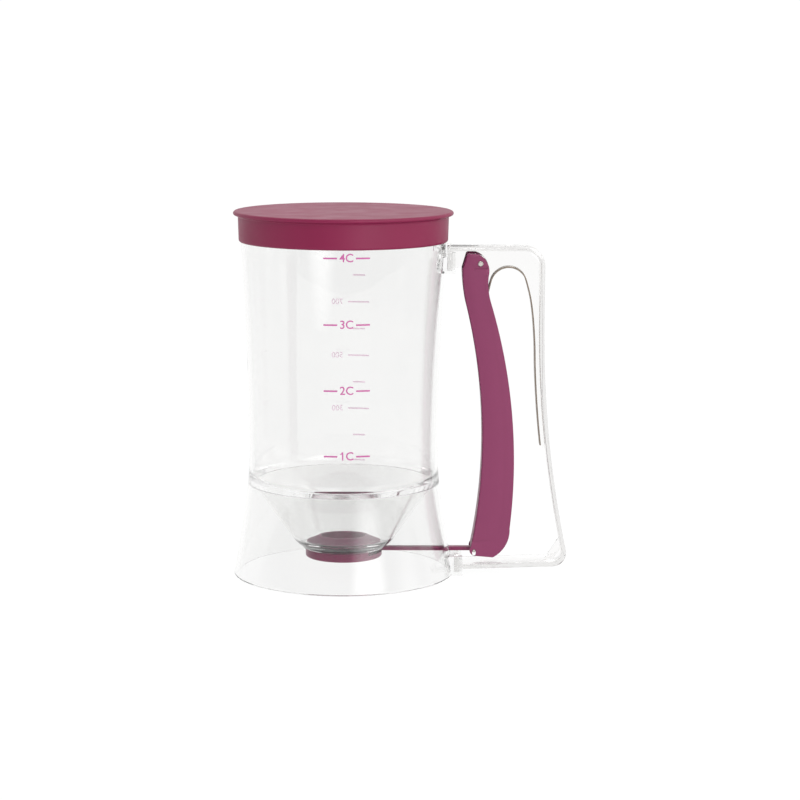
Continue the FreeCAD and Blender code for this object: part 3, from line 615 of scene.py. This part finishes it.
LEAF = smooth(leaf_points())
strip = prism("handle", frame_path(0) + frame_path(RAIL_T)[::-1], -FRAME_HALF, FRAME_HALF)
rounded(strip, 0.4, 2, 60.0)
half_t = RAIL_T / 2
rail_mid = RAIL_X - half_t
web_x, web_z = TOP_PLATE_X + PLATE_T / 2, HANDLE_TOP - half_t
web = prism(
    "web",
    [
        (web_x, web_z),
        (web_x, 158.1),
        (PIVOT[0] - 5.0, 158.1),
        (73.4, 155.4),
        (75.4, 153.5),
        (84.0, 65.0),
        rail_point(half_t, 65.0),
        rail_point(half_t, 81.0),
        rail_point(half_t, 97.5),
        rail_point(half_t, 114.0),
        (rail_mid, 130.0),
        (rail_mid, HANDLE_TOP - TOP_CORNER),
        (RAIL_X - TOP_CORNER, web_z),
    ],
    -WEB_HALF,
    WEB_HALF,
)
edge = beside(LEAF, 0.7)
arch = prism("arch", edge + [(edge[-1][0], 13.0), (edge[0][0], 13.0)], -FRAME_HALF, FRAME_HALF)
lobe = cross_pin("lobe", LOBE_R, *PIVOT, WEB_HALF)
combine(web, "UNION", lobe)
combine(web, "DIFFERENCE", arch)
gusset_x = FOOT_CENTRE[0] - FOOT_CORNER + RAIL_T
gusset = prism(
    "gusset",
    [
        (gusset_x, foot_rail_z(half_t, gusset_x)),
        rail_point(half_t, FOOT_RISE + 6.0),
        rail_point(half_t, FOOT_RISE),
        (FOOT_CENTRE[0], foot_rail_z(half_t, FOOT_CENTRE[0])),
    ],
    -WEB_HALF,
    WEB_HALF,
)


def end_plate(x, z0, z1):
    """An end plate of the handle frame, which stands on its bracket's shelf."""
    plate = brick("plate", x, x + PLATE_T, -PLATE_HALF, PLATE_HALF, z0 + PLATE_LIFT, z1)
    return rounded(plate, 0.3, 2)


top_plate = end_plate(TOP_PLATE_X, TOP_SHELF_Z, web_z)
foot_plate = end_plate(FOOT_PLATE_X, FOOT_SHELF_Z, 9.8)
boss = cross_pin("boss", BOSS_R, *PIVOT, 6.2)
for side in (-1, 1):
    for x, inner in ((56, PLATE_HALF), (FOOT_PLATE_X + PLATE_T, LIP_IN - PLATE_PLAY)):
        y0, y1 = sorted((side * inner, side * 12))
        combine(strip, "DIFFERENCE", brick("trim", x, 61.6, y0, y1, -1, FOOT_BRACKET_Z))
combine(strip, "UNION", web, gusset, top_plate, foot_plate, boss)
combine(strip, "DIFFERENCE", cross_pin("hole", PIVOT_PIN_R + 0.02, *PIVOT, 8))
place(strip, handle_clear, "dispenser", "clear_handle", "handle_frame")

# Leaf spring
leaf_loop = beside(LEAF, LEAF_T / 2) + beside(LEAF, -LEAF_T / 2)[::-1]
leaf = prism("leaf_spring", leaf_loop, -LEAF_HALF, LEAF_HALF)
rounded(leaf, 0.12, 1, 60.0)
place(leaf, leaf_steel, None, "spring_steel", "return_spring")
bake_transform(leaf)

# Lever


def lever_front(inset):
    """The lever's front edge as path legs, inset from its outside."""
    return [
        ((60.55 + inset, 151.0), (61.9 + inset, 141.5)),
        ((71.0 + inset, 72.45), (65.6 + inset, 14.5)),
    ]


lever = prism(
    "lever",
    path(
        (62.6, 165.9),
        (60.2, 157.7),
        *lever_front(0),
        ((65.2, 11.4), (67.6, 9.6)),
        (77.0, 8.8),
        ((83.8, 15.6), (85.6, 24.0)),
        ((87.5, 58.0), (75.0, 141.0)),
        ((73.7, 147.5), (73.8, 155.0)),
        ((71.9, 162.9), (67.0, 165.9)),
        count=26,
    ),
    -LEVER_HALF,
    LEVER_HALF,
)
rounded(lever, 1.3, 4, 50.0)
channel = prism(
    "channel",
    path(
        (58.2, 168.0),
        (58.2, 157.7),
        (62.0, 157.7),
        *lever_front(1.8),
        (62.6, 14.5),
        (62.6, 6.2),
        (71.0, 6.2),
        (71.0, 10.8),
        (88.5, 10.8),
        (88.5, 168.0),
        count=20,
    ),
    -LEVER_HALF + CHEEK,
    LEVER_HALF - CHEEK,
)
combine(lever, "DIFFERENCE", channel)
for side in (-1, 1):
    y0, y1 = sorted((side * (LEVER_HALF - 0.4), side * 12))
    step = prism(
        "step",
        path(
            (92.5, 155.0),
            (71.2, 155.0),
            (72.4, 141.0),
            ((82.5, 58.0), (80.6, 24.0)),
            (76.0, 18.3),
            (60.2, 16.6),
            (60.2, 3.8),
            (92.5, 3.8),
            count=20,
        ),
        y0,
        y1,
    )
    pad = cross_pin("pad", PAD_R, *PIVOT, 10)
    y0, y1 = sorted((side * (LEVER_HALF - 0.6), side * 12))
    combine(pad, "DIFFERENCE", brick("low", 55, 85, -12, 12, 150, 158.1))
    keep = brick("keep", 60, 80, y0, y1, 150, 172)
    combine(pad, "INTERSECT", keep)
    combine(lever, "DIFFERENCE", step, pad)
combine(lever, "DIFFERENCE", cross_pin("hole", PIVOT_PIN_R + 0.05, *PIVOT, 12))
lean = math.atan2(ROD_PIN[0] - PIVOT[0], PIVOT[1] - ROD_PIN[1])
down = (math.sin(lean), -math.cos(lean))
slot_run, slot_r = 1.69, 0.9
ends = [ROD_PIN, (ROD_PIN[0] + slot_run * down[0], ROD_PIN[1] + slot_run * down[1])]
slot_points = []
for centre, first in zip(ends, (0, 180)):
    for i in range(13):
        a = math.radians(first + 15 * i) + lean
        slot_points.append((centre[0] + slot_r * math.cos(a), centre[1] + slot_r * math.sin(a)))
combine(lever, "DIFFERENCE", prism("slot", slot_points, -12, 12))
place(lever, lever_red, "lever", "lever_plastic", "trigger_lever")

# Pins
pivot_pin = cross_pin("pivot_steel", PIVOT_PIN_R, *PIVOT, 7.9, 0.3)
place(pivot_pin, pin_steel, "dispenser", "steel", "pivot_pin")
rod_pin = cross_pin("rod_steel", ROD_PIN_R, *ROD_PIN, 7.6, 0.2, 32)
place(rod_pin, pin_steel, "gate", "steel", "rod_pin")

# Gate, cap and seat
gate = turned(
    "gate",
    path(
        (0, GATE_Z0),
        (GATE_R - 0.4, GATE_Z0),
        (GATE_R, GATE_Z0 + 0.4),
        (GATE_R, GATE_Z1 - 0.4),
        (GATE_R - 0.4, GATE_Z1),
        (0, GATE_Z1),
    ),
    96,
)
rod = rounded(brick("rod", 12.4, ROD_PIN[0], -ROD_HALF, ROD_HALF, GATE_Z0, GATE_Z1), 0.35, 2)
eye = cross_pin("eye", EYE_R, *ROD_PIN, 3.5, 0.2)
combine(gate, "UNION", rod, eye)
combine(gate, "DIFFERENCE", cross_pin("hole", ROD_PIN_R + 0.02, *ROD_PIN, 9))
place(gate, gate_red, "gate", "gate_plastic", "gate_slide")

cap = turned(
    "outlet_ring",
    path(
        (11.1, 9.4),
        (11.1, 11.2),
        (15.6, 11.2),
        (15.6, 9.8),
        (17.7, 9.8),
        (17.7, 10.1),
        (18.2, 10.1),
        (18.2, 11.9),
        (17.7, 11.9),
        (17.7, 13.1),
        (19.4, 13.1),
        ((19.61, 13.01), (19.7, 12.8)),
        (19.7, 9.3),
        ((19.46, 8.74), (18.9, 8.5)),
        (15.0, 8.5),
        (15.0, 9.4),
        count=5,
    ),
    160,
)
combine(cap, "DIFFERENCE", brick("window", 0, 21, -WINDOW_HALF, WINDOW_HALF, 11.2, 14.4))
for side in (-1, 1):
    y0, y1 = sorted((side * 14.5, side * 15.6))
    guide = brick("guide", -5.6, 5.6, y0, y1, 10.7, 13.1)
    inside = turned("inside", [(0, 9.4), (15.75, 9.4), (15.75, 13.2), (0, 13.2)], 96)
    combine(guide, "INTERSECT", inside)
    combine(cap, "UNION", guide)
place(cap, cap_red, "dispenser", "coloured", "outlet_cap")

seat = turned(
    "valve_ring",
    path(
        (11.1, 13.35),
        (11.1, 20.7),
        ((11.22, 20.95), (11.5, 21.0)),
        (12.3, 21.0),
        ((12.8, 20.85), (13.2, 20.5)),
        (18.2, 18.3),
        ((18.7, 18.05), (18.9, 17.6)),
        (18.9, 17.2),
        (12.8, 17.2),
        (11.9, 16.6),
        (11.9, 13.35),
        count=5,
    ),
    160,
)
place(seat, seat_red, "dispenser", "coloured", "valve_seat")


def repaint(node, material):
    """Gives a CAD node that stays in view its material."""
    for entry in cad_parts[node].material_slots:
        entry.material = material


repaint("cup_scale", front_ink)
repaint("millilitre_scale", back_ink)


# Printed numbers


def numeral(name, text, size, middle, height, material, side, slot):
    """Numbers wrapped onto the jug's wall: side is -1 for the front and 1 for the back."""
    curve = bpy.data.curves.new(name, "FONT")
    curve.body = text
    curve.size = size
    curve.align_x = "CENTER"
    curve.align_y = "CENTER"
    curve.extrude = INK_HALF
    curve.offset = 0.05 * size / 5
    curve.resolution_u = 6
    temp = bpy.data.objects.new(name, curve)
    bpy.context.scene.collection.objects.link(temp)
    bpy.context.view_layer.update()
    graph = bpy.context.evaluated_depsgraph_get()
    mesh = bpy.data.meshes.new_from_object(temp.evaluated_get(graph), depsgraph=graph)
    bpy.data.objects.remove(temp, do_unlink=True)
    bm = bmesh.new()
    bm.from_mesh(mesh)
    if text[0] == "1":
        left = min(vert.co.x for vert in bm.verts)
        high = max(vert.co.y for vert in bm.verts if vert.co.x < left + 0.1 * size)
        flag = [(0.02, 0), (0.02, -0.15), (-0.13, -0.26), (-0.13, -0.17)]
        flag = [(left + a * size, high + b * size) for a, b in flag]
        near, far = [[bm.verts.new((*at, w)) for at in flag] for w in (-INK_HALF, INK_HALF)]
        bm.faces.new(near)
        bm.faces.new(far[::-1])
        for i in range(4):
            bm.faces.new((near[i - 1], near[i], far[i], far[i - 1]))
    bmesh.ops.triangulate(bm, faces=bm.faces)
    for vert in bm.verts:
        u, v, w = vert.co
        z = height + v
        r = wall_radius(z) + INK_LIFT + w
        a = math.asin(middle / r) + (u if side < 0 else -u) / r
        vert.co = (r * math.sin(a), side * r * math.cos(a), z)
    obj = finish_mesh(name, bm)
    return place(obj, material, "dispenser", slot)


CUP_Z, CUP_STEP = 69.0, 32.9
ML_Z, ML_STEP = 49.3, 14.24
for i, text in enumerate(("1C", "2C", "3C", "4C")):
    numeral("cups_" + text, text, 5.8, 2.7, CUP_Z + CUP_STEP * i, front_ink, -1, "front_ink")
for i, text in enumerate(("300", "500", "700")):
    numeral("ml_" + text, text, 4.2, -4.6, ML_Z + ML_STEP * (2 * i + 2), back_ink, 1, "back_ink")

# Floor, light and camera
bm = bmesh.new()
corners = [(-9000, -6000), (9000, -6000), (9000, 14000), (-9000, 14000)]
bm.faces.new([bm.verts.new((x, y, -0.02)) for x, y in corners])
floor = finish_mesh("floor", bm)
floor_white, tree, node = shader("floor_white")
tones = (0.05, 0.05, 0.05), (0.056, 0.056, 0.0557)
two_tone(tree, noise(tree, 3.0), *tones, node.inputs["Base Color"])
spread(tree, noise(tree, 40.0), 0.2, 0.26, node.inputs["Roughness"])
node.inputs["Emission Color"].default_value = (1, 1, 1, 1)
node.inputs["Emission Strength"].default_value = 0.97
node.inputs["Specular IOR Level"].default_value = 0.0
floor.data.materials.append(floor_white)

world = bpy.data.worlds.new("studio")
bpy.context.scene.world = world
world.use_nodes = True
tree = world.node_tree
coords = tree.nodes.new("ShaderNodeTexCoord")
split = tree.nodes.new("ShaderNodeSeparateXYZ")
tree.links.new(coords.outputs["Generated"], split.inputs["Vector"])
backdrop = tree.nodes["Background"]
backdrop.inputs["Color"].default_value = (1, 1, 1, 1)
remap(tree, split.outputs["Y"], (-0.4, 0.4), (0.5, 1.04), backdrop.inputs["Strength"])


def softbox(name, place_at, width, height, radiance):
    """A white softbox that faces the object and fades from half its way out to its edge."""
    light = bpy.data.lights.new(name, "AREA")
    light.shape = "RECTANGLE"
    light.size = width
    light.size_y = height
    light.energy = radiance * math.pi * width * height
    light.use_nodes = True
    tree = light.node_tree
    spot = tree.nodes.new("ShaderNodeNewGeometry")
    centre = tree.nodes.new("ShaderNodeVectorMath")
    centre.operation = "DISTANCE"
    centre.inputs[1].default_value = (0.5, 0.5, 0)
    tree.links.new(spot.outputs["Parametric"], centre.inputs[0])
    strength = tree.nodes["Emission"].inputs["Strength"]
    edge = remap(tree, centre.outputs["Value"], (0.5, 0.2), (0, 1), strength)
    edge.interpolation_type = "SMOOTHSTEP"
    obj = bpy.data.objects.new(name, light)
    bpy.context.scene.collection.objects.link(obj)
    obj.location = place_at
    toward = Vector((0, 0, 0.1)) - Vector(place_at)
    obj.rotation_euler = toward.to_track_quat("-Z", "Y").to_euler()


softbox("key", (0.78, -1.42, 0.75), 1.85, 1.9, 3.6)
softbox("side", (1.45, -0.39, 0.75), 1.85, 1.9, 1.3)
softbox("fill", (-1.5, -0.5, 0.8), 1.25, 1.6, 1.0)
softbox("top", (0.1, 0.4, 1.7), 2.2, 1.9, 1.7)

camera = bpy.data.cameras.new("camera")
camera.sensor_width = 36.0
camera.lens = 106.52
camera.clip_start = 0.01
camera.clip_end = 60.0
eye_point = bpy.data.objects.new("camera", camera)
bpy.context.scene.collection.objects.link(eye_point)
eye_point.location = (0.02894, -1.2, 0.282)
tilt, roll = math.radians(90 - 9.101), math.radians(0.17)
aim = Euler((tilt, 0, 0)).to_matrix() @ Euler((0, 0, roll)).to_matrix()
eye_point.rotation_euler = aim.to_euler()
bpy.context.scene.camera = eye_point
bpy.context.scene.view_settings.view_transform = "Standard"
bpy.context.scene.view_settings.look = "None"

# Light that is caught inside the clear walls needs many bounces, or it ends as black rings
cycles = bpy.context.scene.cycles
cycles.max_bounces = cycles.transmission_bounces = cycles.glossy_bounces = 72
cycles.transparent_max_bounces = 12
